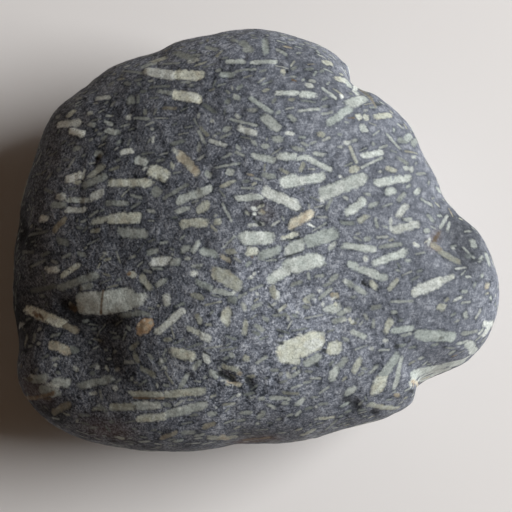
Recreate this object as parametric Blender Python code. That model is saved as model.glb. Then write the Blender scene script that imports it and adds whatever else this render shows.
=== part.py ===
"""River pebble: a water-worn cobble of porphyritic basalt, 100 mm long, lying on its flat underside.

Metres, +Z up. +X runs along the length to the narrow lobe, +Y towards the back, and the ground is z = 0.
"""

import bmesh
import bpy
import numpy as np

MM = 0.001

# The plan outline at the stone's widest level: bearing from +X in degrees, radius in mm.
OUTLINE = (
    (0, 45.8), (5, 42.1), (10, 39.4), (15, 38.8), (26, 38.1), (33, 39.0), (49, 38.4), (57, 37.8),
    (60, 39.8), (65, 42.0), (77, 43.0), (92, 44.2), (100, 44.2), (112, 45.1), (118, 45.0), (124, 46.3),
    (130, 47.7), (138, 48.4), (146, 50.1), (161, 49.2), (172, 49.2), (182, 49.7), (189, 50.4),
    (195, 51.6), (204, 53.0), (212, 56.5), (220, 56.6), (227, 54.9), (237, 50.8), (247, 47.1),
    (258, 44.2), (265, 42.4), (271, 42.1), (283, 42.4), (296, 43.1), (308, 45.6), (314, 46.3),
    (318, 45.0), (321, 45.6), (329, 49.7), (335, 51.6), (341, 51.8), (347, 51.0), (354, 48.5),
)
HALF_LENGTH, HALF_WIDTH = 49.0, 43.0  # half axes of the ellipse that the level lines near the top follow
OUTLINE_FADE = 4.5  # power of the plan fraction by which the outline takes over from that ellipse

WIDEST_Z = 19.0  # height of the widest level
UPPER_RISE = 23.0  # from the widest level to the ridge
LOWER_DROP = 20.3  # from the widest level to where the underside would end if it weren't worn flat
BOXINESS = 2.5  # power of the superellipse an upright section follows: 2 is an ellipse
BLUNT_ENDS = ((-12.0, 24.0, 2.6), (80.0, 30.0, 0.4))  # bearing, spread in degrees and extra boxiness above

# The upper face falls away like a low roof on both sides of a rounded ridge.
RIDGE_X, RIDGE_LEAN = -1.0, 0.3  # where the ridge crosses y = 0, and its mm of x for each mm of y
RIDGE_ROUNDING = 7.0  # mm
RIDGE_FALL = 0.115  # mm of height lost for each mm away from it

# Broad swells (+) and hollows (-) worn into the stone: centre x, y, z, spread and height in mm.
SWELLS = (
    (-33.5, -24.0, 32.0, 6.2, -2.6),  # the bowl near the left front corner
    (-45.0, -14.6, 28.0, 3.1, -1.2),  # the groove at the left edge
    (-47.0, 2.0, 24.5, 2.8, -1.2),  # the dimple behind it
    (40.5, 1.0, 35.0, 4.4, -1.5),  # the hollow on the lobe
    (31.0, -3.0, 38.0, 13.8, -1.0),  # the saddle between lobe and ridge
    (17.0, 33.0, 29.0, 4.1, -1.6),  # the step below the back right corner
    (32.0, -29.5, 21.0, 2.5, -0.7),  # the broken corner in front of the lobe
    (-3.5, -41.0, 22.0, 3.8, -0.8),  # the shallow groove in the front face
    (-8.0, 30.0, 37.0, 8.8, 0.8),  # the back shoulder
    (-20.0, -42.0, 27.0, 6.9, 0.7),  # the front shoulder
    (21.0, -37.0, 28.0, 5.6, 0.6),  # the swell right of the groove
    (-10.0, 40.0, 12.0, 7.5, -1.4),  # low on the back
    (22.0, 30.0, 8.0, 5.6, 0.9),  # low on the back, towards the lobe
    (-40.0, 20.0, 10.0, 6.3, -1.2),  # low on the left
    (28.0, -23.0, 3.0, 5.6, -1.0),  # under the lobe
    (-24.0, -26.0, 2.5, 5.6, 0.8),  # under the left front corner
)
OUTWARD_AXES = np.array((50.0, 44.0, 22.0))  # half axes of the ellipsoid whose normals the swells follow

CELLS = (30, 28, 14)  # cuts of the starting cube along x, y and z


def outline_radius(bearing: np.ndarray) -> np.ndarray:
    """The plan outline's radius in mm at each bearing in radians: a smooth closed curve through OUTLINE."""
    knots, radii = np.array(OUTLINE, float).T
    knots = np.radians(np.concatenate([knots[-2:] - 360, knots, knots[:2] + 360]))
    radii = np.concatenate([radii[-2:], radii, radii[:2]])
    slopes = np.gradient(radii, knots)
    turn = np.mod(bearing, 2 * np.pi)
    left = np.clip(np.searchsorted(knots, turn, side="right") - 1, 1, len(knots) - 3)
    gap = knots[left + 1] - knots[left]
    t = (turn - knots[left]) / gap
    rise = radii[left + 1] - radii[left]
    start_bend = slopes[left] * gap - rise
    end_bend = rise - slopes[left + 1] * gap
    return radii[left] + t * rise + t * (1 - t) * ((1 - t) * start_bend + t * end_bend)


def blunting(bearing: np.ndarray) -> np.ndarray:
    """The upper half's extra boxiness at each bearing in radians: a bell round each blunt end."""
    extra = np.zeros(len(bearing))
    for centre, spread, most in BLUNT_ENDS:
        off = (np.degrees(bearing) - centre + 180) % 360 - 180
        extra += most * np.exp(-((off / spread) ** 2))
    return extra


def swelling(points: np.ndarray) -> np.ndarray:
    """How far in mm each point stands out because of the swells: the sum of their bells."""
    height = np.zeros(len(points))
    for *centre, spread, most in SWELLS:
        height += most * np.exp(-((points - centre) ** 2).sum(axis=1) / (2 * spread**2))
    return height


def worn_surface(cube_points: np.ndarray) -> np.ndarray:
    """The stone's points in mm for points on a cube's surface, whose sides are at -1 and 1.

    Each cube point gives a ray, and the ray is cut off where (plan fraction)^n + (height fraction)^n = 1,
    with n the boxiness at its bearing. Fractions become mm by the plan radius and the rise or drop. The
    swells then move each point along the outward direction, and nothing reaches below the ground.
    """
    ray = np.tan(cube_points * np.pi / 4)
    ray /= np.linalg.norm(ray, axis=1, keepdims=True)
    bearing = np.arctan2(ray[:, 1], ray[:, 0])
    plan, height = np.hypot(ray[:, 0], ray[:, 1]), ray[:, 2]
    power = BOXINESS + np.where(height > 0, blunting(bearing), 0.0)
    reach = (plan**power + np.abs(height) ** power) ** (-1 / power)
    plan, height = plan * reach, height * reach

    ellipse = 1 / np.hypot(np.cos(bearing) / HALF_LENGTH, np.sin(bearing) / HALF_WIDTH)
    radius = plan * (ellipse + (outline_radius(bearing) - ellipse) * plan**OUTLINE_FADE)
    x, y = radius * np.cos(bearing), radius * np.sin(bearing)
    off_ridge = np.hypot(x - RIDGE_X - RIDGE_LEAN * y, RIDGE_ROUNDING) - RIDGE_ROUNDING
    upper = UPPER_RISE - RIDGE_FALL * off_ridge
    points = np.stack([x, y, WIDEST_Z + height * np.where(height > 0, upper, LOWER_DROP)], axis=1)

    outward = (points - (0, 0, WIDEST_Z)) / OUTWARD_AXES**2
    outward /= np.linalg.norm(outward, axis=1, keepdims=True)
    points += outward * swelling(points)[:, None]
    points[:, 2] = np.maximum(points[:, 2], 0.0)
    return points


def gridded_cube(form: bmesh.types.BMesh) -> None:
    """Makes a cube whose faces are cut into CELLS in the mesh."""
    bmesh.ops.create_cube(form, size=2.0)
    for axis, count in enumerate(CELLS):
        along = [edge for edge in form.edges if (edge.verts[0].co - edge.verts[1].co)[axis] != 0]
        bmesh.ops.subdivide_edges(form, edges=along, cuts=count - 1)


def basalt() -> bpy.types.Material:
    """Dull dark grey stone, the average of the groundmass and its pale crystals."""
    material = bpy.data.materials.new("porphyritic_basalt")
    material.use_nodes = True
    shader = material.node_tree.nodes["Principled BSDF"]
    shader.inputs["Base Color"].default_value = (0.21, 0.22, 0.22, 1.0)
    shader.inputs["Metallic"].default_value = 0.0
    shader.inputs["Roughness"].default_value = 0.6
    return material


def build_pebble() -> bpy.types.Object:
    """The stone, as one closed mesh object."""
    form = bmesh.new()
    gridded_cube(form)
    points = worn_surface(np.array([vertex.co for vertex in form.verts]))
    for vertex, point in zip(form.verts, points):
        vertex.co = point * MM
    bmesh.ops.recalc_face_normals(form, faces=form.faces)
    mesh = bpy.data.meshes.new("pebble")
    form.to_mesh(mesh)
    form.free()
    mesh.shade_smooth()
    mesh.materials.append(basalt())
    pebble = bpy.data.objects.new("pebble", mesh)
    bpy.context.scene.collection.objects.link(pebble)
    return pebble


def main() -> None:
    """Clears the scene and builds the stone."""
    for old in list(bpy.data.objects):
        bpy.data.objects.remove(old, do_unlink=True)
    build_pebble()


main()
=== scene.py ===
"""Looks of the river pebble: a water-worn cobble of porphyritic basalt on a plain pale floor.

The frame is the CAD model's: metres, +Z up, +X along the stone to its narrow lobe, resting on z = 0. The
stone is one body, so one fine mesh stands for the CAD solid. It follows the same worn form, with the relief
of its skin added. It carries as attributes where the feldspar laths lie, and the material reads them. Sizes
in the classes are in millimetres, and places on the seen face are given by column and row in the 512 x 512
picture.
"""

import logging
import math
from dataclasses import dataclass, field
from enum import Enum
from typing import Any

import bpy
import numpy as np
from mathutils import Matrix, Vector
from mathutils.bvhtree import BVHTree


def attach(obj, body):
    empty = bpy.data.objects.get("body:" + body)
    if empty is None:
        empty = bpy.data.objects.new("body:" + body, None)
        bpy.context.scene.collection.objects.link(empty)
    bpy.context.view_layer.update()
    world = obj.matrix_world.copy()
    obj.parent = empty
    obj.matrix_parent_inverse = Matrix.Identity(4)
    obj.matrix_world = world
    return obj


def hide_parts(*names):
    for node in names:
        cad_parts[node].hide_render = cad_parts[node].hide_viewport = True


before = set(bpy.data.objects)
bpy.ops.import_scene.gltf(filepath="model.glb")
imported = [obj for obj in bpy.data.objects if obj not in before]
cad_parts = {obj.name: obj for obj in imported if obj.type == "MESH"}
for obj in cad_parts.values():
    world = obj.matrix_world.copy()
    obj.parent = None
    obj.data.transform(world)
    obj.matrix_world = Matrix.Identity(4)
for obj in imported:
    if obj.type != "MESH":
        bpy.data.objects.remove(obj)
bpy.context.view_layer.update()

MM = 0.001
PICTURE = 512  # pixels across the picture
Pixel = tuple[float, float]  # column and row in the picture

HASH_FACTORS = (374761393, 668265263, 362437)  # odd numbers, one for each axis
HASH_SEED, HASH_MIXER = 974634777, 1274126177
FELDSPAR_TINT, TINT_STEP = 0.28, 0.12

log = logging.getLogger("river_pebble")


def linear_colour(hex_code: str) -> tuple[float, float, float, float]:
    """Turns an sRGB hex colour into linear red, green, blue and alpha.

    Args:
        hex_code: Six hex digits.
    Returns:
        The linear colour, opaque.
    """
    parts = [int(hex_code[at:at + 2], 16) / 255 for at in (0, 2, 4)]
    red, green, blue = (p / 12.92 if p <= 0.04045 else ((p + 0.055) / 1.055) ** 2.4 for p in parts)
    return red, green, blue, 1.0


def random_at(corners: np.ndarray, seed: int) -> np.ndarray:
    """A fixed random number for each row of whole numbers, mixed by multiplying and shifting to 16 bits.

    Args:
        corners: Whole numbers, three in a row.
        seed: Tells one noise from another.
    Returns:
        One number from -1 to 1 a row.
    """
    mixed = (corners.astype(np.int64) * HASH_FACTORS).sum(axis=1) + seed * HASH_SEED
    mixed = (mixed ^ (mixed >> 13)) * HASH_MIXER
    mixed = (mixed ^ (mixed >> 16)) & 0xFFFF
    return mixed / 32767.5 - 1.0


def lattice_noise(points: np.ndarray, cell: float, seed: int) -> np.ndarray:
    """Smooth noise: random values at the corners of a lattice, eased between them by 6t^5 - 15t^4 + 10t^3.

    Args:
        points: Places in mm, one a row.
        cell: The lattice's spacing in mm.
        seed: Tells one noise from another.
    Returns:
        Values from -1 to 1.
    """
    place = points / cell
    base = np.floor(place)
    part = place - base
    eased = part**3 * (part * (part * 6 - 15) + 10)
    total = np.zeros(len(points))
    for corner in np.ndindex(2, 2, 2):
        weight = np.abs(1 - np.array(corner) - eased).prod(axis=1)
        total += weight * random_at(base + corner, seed)
    return total


def unit(vectors: np.ndarray) -> np.ndarray:
    """The vectors, one a row or a single one, brought to length 1."""
    return vectors / np.linalg.norm(vectors, axis=-1, keepdims=True)


def above_ground(points: np.ndarray) -> np.ndarray:
    """The points, with those that lie below z = 0 raised to it."""
    return np.maximum(points, (-np.inf, -np.inf, 0.0))


@dataclass(frozen=True)
class View:
    """The camera's place and lens, and the rays through its picture."""

    elevation: float = 78.0  # degrees above the floor
    distance: float = 410.0  # from the lens to the aim point
    aim: tuple[float, float, float] = (0.14, -3.23, 19.0)
    seen_width: float = 105.9  # what the picture takes in at the aim point
    sensor: float = 36.0

    @property
    def axes(self) -> tuple[np.ndarray, np.ndarray, np.ndarray]:
        """The camera's own directions, tilted down from +Y by the elevation.

        Returns:
            Unit vectors forward, right and up.
        """
        tilt = math.radians(self.elevation)
        forward = np.array((0.0, math.cos(tilt), -math.sin(tilt)))
        return forward, np.array((1.0, 0.0, 0.0)), np.array((0.0, math.sin(tilt), math.cos(tilt)))

    @property
    def eye(self) -> np.ndarray:
        """Where the lens is."""
        return np.array(self.aim) - self.distance * self.axes[0]

    def ray(self, at: Pixel) -> np.ndarray:
        """The line of sight through a place in the picture.

        Args:
            at: Column and row in the picture.
        Returns:
            Its unit direction.
        """
        forward, right, up = self.axes
        across, rise = at[0] / PICTURE - 0.5, 0.5 - at[1] / PICTURE
        return unit(self.distance * forward + self.seen_width * (across * right + rise * up))

    def build(self) -> None:
        """Makes the camera and gives it to the scene."""
        lens = bpy.data.cameras.new("camera")
        lens.sensor_width = self.sensor
        lens.lens = self.sensor * self.distance / self.seen_width
        camera = bpy.data.objects.new("camera", lens)
        camera.location = Vector(self.eye * MM)
        camera.rotation_euler = (math.radians(90 - self.elevation), 0.0, 0.0)
        bpy.context.scene.collection.objects.link(camera)
        bpy.context.scene.camera = camera


@dataclass(frozen=True)
class PebbleForm:
    """The worn form, as the CAD solid has it: a blunt superellipsoid inside the plan outline.

    Each point on a cube's surface gives a ray, which is cut off where (plan fraction)^n + (height
    fraction)^n is 1. Fractions become mm by the outline's radius and by the rise to a low ridge or the drop
    below it. Broad swells and hollows then move each point outwards or inwards, and the underside is worn
    flat.
    """

    outline: tuple[tuple[float, float], ...] = (  # bearing from +X in degrees, radius
        (0, 45.8), (5, 42.1), (10, 39.4), (15, 38.8), (26, 38.1), (33, 39.0), (49, 38.4), (57, 37.8),
        (60, 39.8), (65, 42.0), (77, 43.0), (92, 44.2), (100, 44.2), (112, 45.1), (118, 45.0),
        (124, 46.3), (130, 47.7), (138, 48.4), (146, 50.1), (161, 49.2), (172, 49.2), (182, 49.7),
        (189, 50.4), (195, 51.6), (204, 53.0), (212, 56.5), (220, 56.6), (227, 54.9), (237, 50.8),
        (247, 47.1), (258, 44.2), (265, 42.4), (271, 42.1), (283, 42.4), (296, 43.1), (308, 45.6),
        (314, 46.3), (318, 45.0), (321, 45.6), (329, 49.7), (335, 51.6), (341, 51.8), (347, 51.0),
        (354, 48.5),
    )
    half_axes: tuple[float, float] = (49.0, 43.0)  # the ellipse that level lines near the top follow
    outline_fade: float = 4.5  # power of the plan fraction by which the outline takes over from it
    widest_z: float = 19.0
    upper_rise: float = 23.0  # from the widest level to the ridge
    lower_drop: float = 20.3  # from the widest level to the underside, were it not worn flat
    boxiness: float = 2.5  # the power n, where 2 is an ellipsoid
    blunt_ends: tuple[tuple[float, float, float], ...] = (  # bearing, spread in degrees, more boxiness above
        (-12.0, 24.0, 2.6), (80.0, 30.0, 0.4),
    )
    ridge_x: float = -1.0  # where the ridge crosses y = 0
    ridge_lean: float = 0.3  # its mm of x for each mm of y
    ridge_rounding: float = 7.0
    ridge_fall: float = 0.115  # mm of height lost for each mm away from it
    swells: tuple[tuple[float, ...], ...] = (  # centre x, y, z, spread, height
        (-33.5, -24.0, 32.0, 6.2, -2.6), (-45.0, -14.6, 28.0, 3.1, -1.2), (-47.0, 2.0, 24.5, 2.8, -1.2),
        (40.5, 1.0, 35.0, 4.4, -1.5), (31.0, -3.0, 38.0, 13.8, -1.0), (17.0, 33.0, 29.0, 4.1, -1.6),
        (32.0, -29.5, 21.0, 2.5, -0.7), (-3.5, -41.0, 22.0, 3.8, -0.8), (-8.0, 30.0, 37.0, 8.8, 0.8),
        (-20.0, -42.0, 27.0, 6.9, 0.7), (21.0, -37.0, 28.0, 5.6, 0.6), (-10.0, 40.0, 12.0, 7.5, -1.4),
        (22.0, 30.0, 8.0, 5.6, 0.9), (-40.0, 20.0, 10.0, 6.3, -1.2), (28.0, -23.0, 3.0, 5.6, -1.0),
        (-24.0, -26.0, 2.5, 5.6, 0.8),
    )
    outward_axes: tuple[float, float, float] = (50.0, 44.0, 22.0)  # of the ellipsoid that outward follows

    def outline_radius(self, bearing: np.ndarray) -> np.ndarray:
        """The outline's radius: a smooth closed curve of cubics through its points.

        Args:
            bearing: Bearings in radians.
        Returns:
            The radius at each.
        """
        knots, radii = np.array(self.outline, float).T
        knots = np.radians(np.concatenate([knots[-2:] - 360, knots, knots[:2] + 360]))
        radii = np.concatenate([radii[-2:], radii, radii[:2]])
        slopes = np.gradient(radii, knots)
        turn = np.mod(bearing, 2 * np.pi)
        left = np.clip(np.searchsorted(knots, turn, side="right") - 1, 1, len(knots) - 3)
        gap = knots[left + 1] - knots[left]
        t = (turn - knots[left]) / gap
        rise = radii[left + 1] - radii[left]
        start_bend = slopes[left] * gap - rise
        end_bend = rise - slopes[left + 1] * gap
        return radii[left] + t * rise + t * (1 - t) * ((1 - t) * start_bend + t * end_bend)

    def outward(self, points: np.ndarray) -> np.ndarray:
        """The outward unit direction at each point: the normal of an ellipsoid round the stone."""
        return unit((points - (0.0, 0.0, self.widest_z)) / np.square(self.outward_axes))

    def surface(self, cube_points: np.ndarray) -> np.ndarray:
        """The worn surface.

        Args:
            cube_points: Points on the surface of a cube whose sides are at -1 and 1.
        Returns:
            The stone's points in mm.
        """
        ray = unit(np.tan(cube_points * np.pi / 4))
        bearing = np.arctan2(ray[:, 1], ray[:, 0])
        plan, height = np.hypot(ray[:, 0], ray[:, 1]), ray[:, 2]
        extra = np.zeros(len(ray))
        for centre, spread, most in self.blunt_ends:
            off = (np.degrees(bearing) - centre + 180) % 360 - 180
            extra += most * np.exp(-((off / spread) ** 2))
        power = self.boxiness + np.where(height > 0, extra, 0.0)
        reach = (plan**power + np.abs(height) ** power) ** (-1 / power)
        plan, height = plan * reach, height * reach

        half_length, half_width = self.half_axes
        ellipse = 1 / np.hypot(np.cos(bearing) / half_length, np.sin(bearing) / half_width)
        radius = plan * (ellipse + (self.outline_radius(bearing) - ellipse) * plan**self.outline_fade)
        x, y = radius * np.cos(bearing), radius * np.sin(bearing)
        off_ridge = np.hypot(x - self.ridge_x - self.ridge_lean * y, self.ridge_rounding)
        upper = self.upper_rise - self.ridge_fall * (off_ridge - self.ridge_rounding)
        z = self.widest_z + height * np.where(height > 0, upper, self.lower_drop)
        points = np.stack([x, y, z], axis=1)

        swell = np.zeros(len(points))
        for *centre, spread, most in self.swells:
            swell += most * np.exp(-((points - centre) ** 2).sum(axis=1) / (2 * spread**2))
        return above_ground(points + self.outward(points) * swell[:, None])


class Shell:
    """A closed skin of quads: a cube's surface cut into cells, with each side laid flat as its own chart.

    Attributes:
        cube: The points on the cube, with sides at -1 and 1.
        quads: Four point numbers a face, faces outwards.
        charts: The four corners' places in the UV square for each face.
    """

    CHART_GAP = 2  # cells between two charts

    def __init__(self, cells: tuple[int, int, int]) -> None:
        """Cuts the cube.

        Args:
            cells: How many cells there are along x, y and z.
        """
        self.cells = np.array(cells)
        corners, charts = [], []
        for axis in range(3):
            for high in (False, True):
                corner, chart = self._side(axis, high)
                corners.append(corner)
                charts.append(chart)
        points, index = np.unique(np.concatenate(corners).reshape(-1, 3), axis=0, return_inverse=True)
        self.cube = 2.0 * points / self.cells - 1.0
        self.quads = index.reshape(-1, 4)
        self.charts = np.concatenate(charts)

    def _side(self, axis: int, high: bool) -> tuple[np.ndarray, np.ndarray]:
        """One side's faces. The six charts stand in three rows of two: top and bottom, long sides, ends.

        Args:
            axis: 0 to 2, for the sides across x, y and z.
            high: Whether it is the side at the axis's high end.
        Returns:
            The faces' corners in cells, and those corners' places in the UV square.
        """
        across, up = (axis + 1) % 3, (axis + 2) % 3
        i, j = (index.ravel()[:, None] for index in np.indices((self.cells[across], self.cells[up])))
        corner = np.full((i.size, 4, 3), self.cells[axis] if high else 0)
        corner[:, :, across] = i + (0, 1, 1, 0)
        corner[:, :, up] = j + (0, 0, 1, 1)
        if not high:
            corner = corner[:, ::-1]
        chart = corner[:, :, (across, up)].astype(float)
        if not high:  # seen from the other side, so it is laid the other way round
            chart[:, :, 0] = self.cells[across] - chart[:, :, 0]
        if axis == 1:  # turned a quarter, so that it is long sideways as the others are
            chart = np.stack([chart[:, :, 1], self.cells[across] - chart[:, :, 0]], axis=2)
        long, wide, tall = self.cells
        width = (wide, long, long)[axis]
        row = (wide + tall + 2 * self.CHART_GAP, wide + self.CHART_GAP, 0)[axis]
        chart += (0 if high else width + self.CHART_GAP, row)
        return corner, chart / (2 * long + self.CHART_GAP)

    def normals(self, points: np.ndarray) -> np.ndarray:
        """The normals: at each point, the sum of its faces' normals, weighed by their area.

        Args:
            points: The skin's points, wherever they have been moved to.
        Returns:
            A unit normal a point.
        """
        a, b, c, d = (points[self.quads[:, k]] for k in range(4))
        face = np.cross(c - a, d - b)
        total = np.zeros_like(points)
        for k in range(4):
            for axis in range(3):
                total[:, axis] += np.bincount(self.quads[:, k], face[:, axis], len(points))
        return unit(total)


class Skin:
    """The stone's surface as something that can be touched: where a line of sight meets it."""

    PAST_AIM = 4.0  # how far beyond the aim point's distance a line that misses is taken to be closest

    def __init__(self, points: np.ndarray, quads: np.ndarray, view: View) -> None:
        """Makes the search tree.

        Args:
            points: The surface's points in mm.
            quads: Its faces.
            view: The camera that picture positions belong to.
        """
        self.view = view
        self.tree = BVHTree.FromPolygons(points.tolist(), quads.tolist())

    def under(self, at: Pixel) -> tuple[np.ndarray, np.ndarray]:
        """Where the line of sight through a place in the picture meets the stone, or passes closest to it.

        Args:
            at: Column and row in the picture.
        Returns:
            The point and the outward normal there.
        """
        eye, ray = self.view.eye, self.view.ray(at)
        point, normal, _, _ = self.tree.ray_cast(Vector(eye), Vector(ray))
        if point is None:
            beside = eye + ray * (self.view.distance + self.PAST_AIM)
            point, normal, _, _ = self.tree.find_nearest(Vector(beside))
        return np.array(point), np.array(normal)


class Nearby:
    """Finds the points near a place quickly: their order along x is kept."""

    def __init__(self, points: np.ndarray) -> None:
        """Sorts the points along x.

        Args:
            points: The points that will be looked through.
        """
        self.points = points
        self.order = np.argsort(points[:, 0], kind="stable")
        self.along_x = points[self.order, 0]

    def near(self, place: np.ndarray, reach: float) -> np.ndarray:
        """The numbers of the points inside a box round a place.

        Args:
            place: The box's centre.
            reach: Half its side.
        Returns:
            The points' numbers.
        """
        first, last = np.searchsorted(self.along_x, (place[0] - reach, place[0] + reach))
        slab = self.order[first:last]
        slab = slab[np.abs(self.points[slab, 1] - place[1]) < reach]
        return slab[np.abs(self.points[slab, 2] - place[2]) < reach]


@dataclass(frozen=True)
class Dent:
    """A worn or broken place: a bell exp(-q^(2 crisp)) of the distance q in half widths and lengths."""

    at: Pixel
    reach: float  # half width
    deep: float  # negative stands out
    stretch: float = 1.0  # length over width
    turn: float = 0.0  # degrees from right, anticlockwise, of its length
    crisp: float = 1.0  # 1 is a soft bell, and more gives a flat floor between steep rims

    THROUGH = 3  # its reach through the stone, over its half width

    def depth(self, points: np.ndarray, skin: Skin) -> np.ndarray:
        """How deep it goes.

        Args:
            points: The surface's points.
            skin: The surface, with the camera that the dent's place belongs to.
        Returns:
            The depth at each point.
        """
        centre, normal = skin.under(self.at)
        _, right, up = skin.view.axes
        turn = math.radians(self.turn)
        along = right * math.cos(turn) + up * math.sin(turn)
        along = unit(along - normal * (along @ normal))
        off = points - centre
        u = off @ along / (self.reach * self.stretch)
        v = off @ np.cross(normal, along) / self.reach
        w = off @ normal / (self.THROUGH * self.reach)
        return self.deep * np.exp(-((u * u + v * v + w * w) ** self.crisp))


@dataclass(frozen=True)
class Relief:
    """What wear has left on the skin: gentle waves, dents, pits, and crystals a little proud or sunk."""

    waves: tuple[tuple[float, float], ...] = (  # cell, height
        (17.0, 0.13), (7.0, 0.10), (3.2, 0.10), (1.4, 0.06),
    )
    dents: tuple[Dent, ...] = (
        Dent((354, 88), 1.6, 0.7, 1.5, -60),
        Dent((420, 386), 0.9, 0.35, 1.6, 10, 1.5), Dent((416, 394), 1.6, -0.85, 1.4, 60),
        Dent((453, 246), 4.6, 0.75, 1.1, -40, 1.4),
        Dent((226, 377), 1.0, 0.7, 2.0, -32, 1.5), Dent((249, 383), 0.8, 0.35, 2.0, -55, 1.5),
        Dent((264, 215), 1.5, 0.22, 1.2, 60, 1.5),
        Dent((340, 310), 3.2, 0.22, 1.5, 20, 1.3),
        Dent((352, 404), 1.3, 0.35, 1.4, -40, 1.4),
        Dent((373, 412), 0.8, 0.4, 1.2, 0, 1.4),
        Dent((24, 236), 1.5, 0.7, 1.8, 80, 1.2),
        Dent((67, 304), 1.4, 0.8, 2.2, -12, 1.3),
        Dent((99, 299), 5.0, -0.7, 1.3, 6),
        Dent((105, 322), 1.5, 0.8, 2.6, 8, 1.3),
        Dent((364, 283), 0.7, 0.5, 1.2, -30, 1.4),
        Dent((42, 405), 1.3, 0.6, 1.6, 0, 1.3),
        Dent((97, 158), 0.7, 0.5, 1.0, 0, 1.3),
        Dent((470, 212), 3.6, 1.15, 1.0, 0, 1.2),
        Dent((348, 66), 2.0, -0.8),
        Dent((390, 104), 7.0, 0.35, 1.5, -45),
        Dent((165, 455), 7.0, 0.35, 1.5),
        Dent((500, 268), 6.0, 0.3),
    )
    pit_count: int = 320
    pit_reach: tuple[float, float] = (0.5, 1.2)
    pit_depth: tuple[float, float] = (0.06, 0.26)
    seed: int = 71

    FADED = 3  # how many reaches from a pit's centre nothing is left of it

    def wave_height(self, points: np.ndarray) -> np.ndarray:
        """The sum of the waves at each point."""
        waves = enumerate(self.waves)
        return sum(most * lattice_noise(points, cell, self.seed + place) for place, (cell, most) in waves)

    def pit_depths(self, points: np.ndarray) -> np.ndarray:
        """How deep the scattered small pits go: the deepest of the bells round points drawn at random.

        Args:
            points: The form's points.
        Returns:
            The depth at each point.
        """
        draw = np.random.default_rng(self.seed)
        nearby = Nearby(points)
        depth = np.zeros(len(points))
        for centre in points[draw.integers(0, len(points), self.pit_count)]:
            reach, most = draw.uniform(*self.pit_reach), draw.uniform(*self.pit_depth)
            near = nearby.near(centre, self.FADED * reach)
            off = ((points[near] - centre) ** 2).sum(axis=1) / reach**2
            depth[near] = np.maximum(depth[near], most * np.exp(-off))
        return depth

    def worn(self, points: np.ndarray, shell: Shell, view: View) -> np.ndarray:
        """The form's points with the waves, dents and pits worn in along their normals.

        Args:
            points: The form's points.
            shell: The skin that they belong to.
            view: The camera that the dents' places belong to.
        Returns:
            The worn points.
        """
        skin = Skin(points, shell.quads, view)
        out = self.wave_height(points) - self.pit_depths(points)
        for dent in self.dents:
            out -= dent.depth(points, skin)
        return points + shell.normals(points) * out[:, None]


class Tone(Enum):
    """A grain's colour, as its step on the finish's ramp: near black, for dark augite and for painted shade
    in holes and cracks, then fresh to rusty feldspar.
    """

    DARK = 0
    GREEN = 1
    PALE = 2
    WHITE = 3
    CREAM = 4
    TAN = 5
    BROWN = 6

    @property
    def tint(self) -> float:
        """Its place on the ramp, from 0 to 1: augite stands apart from the feldspars."""
        return FELDSPAR_TINT + TINT_STEP * self.value if self.value else 0.0


@dataclass(frozen=True)
class Mark:
    """A lath, grain, crack or stain on the seen face: its two ends, and its width in pixels."""

    x0: float
    y0: float
    x1: float
    y1: float
    width: float
    tone: Tone
    value: float = 1.0  # lightness against its tone


@dataclass
class Crystal:
    """A crystal as the surface cuts it: a plate with blunt, often slanted ends."""

    centre: np.ndarray
    along: np.ndarray
    normal: np.ndarray
    half_length: float
    half_width: float
    tint: float
    value: float
    slant: float  # how far an end leans, in mm along for each mm across
    proud: float  # how far it stands out of the groundmass
    taper: float  # 1 gives blunt ends, and less draws them out

    ROUNDING = 0.8  # the corners' radius over the half width
    SUNK = 3.0  # how far below or above its plane it is still found

    def gaps(self, points: np.ndarray) -> np.ndarray:
        """Where each point stands to the crystal. All three run straight across a face.

        Args:
            points: Places on the surface.
        Returns:
            Three numbers a point: how far it is inside the nearer end, below 0 outside; how far across from
            the middle line, with its sign; and what is left before it is off the plane.
        """
        off = points - self.centre
        v = off @ np.cross(self.normal, self.along)
        end_gap = (self.half_length - np.abs(off @ self.along + self.slant * v)) * self.taper
        return np.stack([end_gap, v, self.SUNK - np.abs(off @ self.normal)], axis=-1)

    def depth(self, gaps: np.ndarray) -> np.ndarray:
        """The depth inside the rounded outline: r less the length of (r - end gap, r - side gap).

        Each of the two counts where it is above 0, and r is the corners' radius. What is left before the
        point is off the plane is the most that the depth can be.

        Args:
            gaps: What the method gaps gives.
        Returns:
            The depth, below 0 outside.
        """
        r = self.half_width * self.ROUNDING
        side = np.maximum(r - self.half_width + np.abs(gaps[..., 1]), 0)
        return np.minimum(r - np.hypot(np.maximum(r - gaps[..., 0], 0), side), gaps[..., 2])


@dataclass(frozen=True)
class Grains:
    """A kind of random crystal."""

    tries: int  # more than find room
    length: tuple[float, float]  # middle, and spread of its logarithm
    width: tuple[float, float]
    value: tuple[float, float]  # least and most lightness
    hidden_only: bool  # the seen face has its own of this kind


Marked = tuple[dict[str, np.ndarray], np.ndarray]  # attributes by name, and each point's lift


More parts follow.
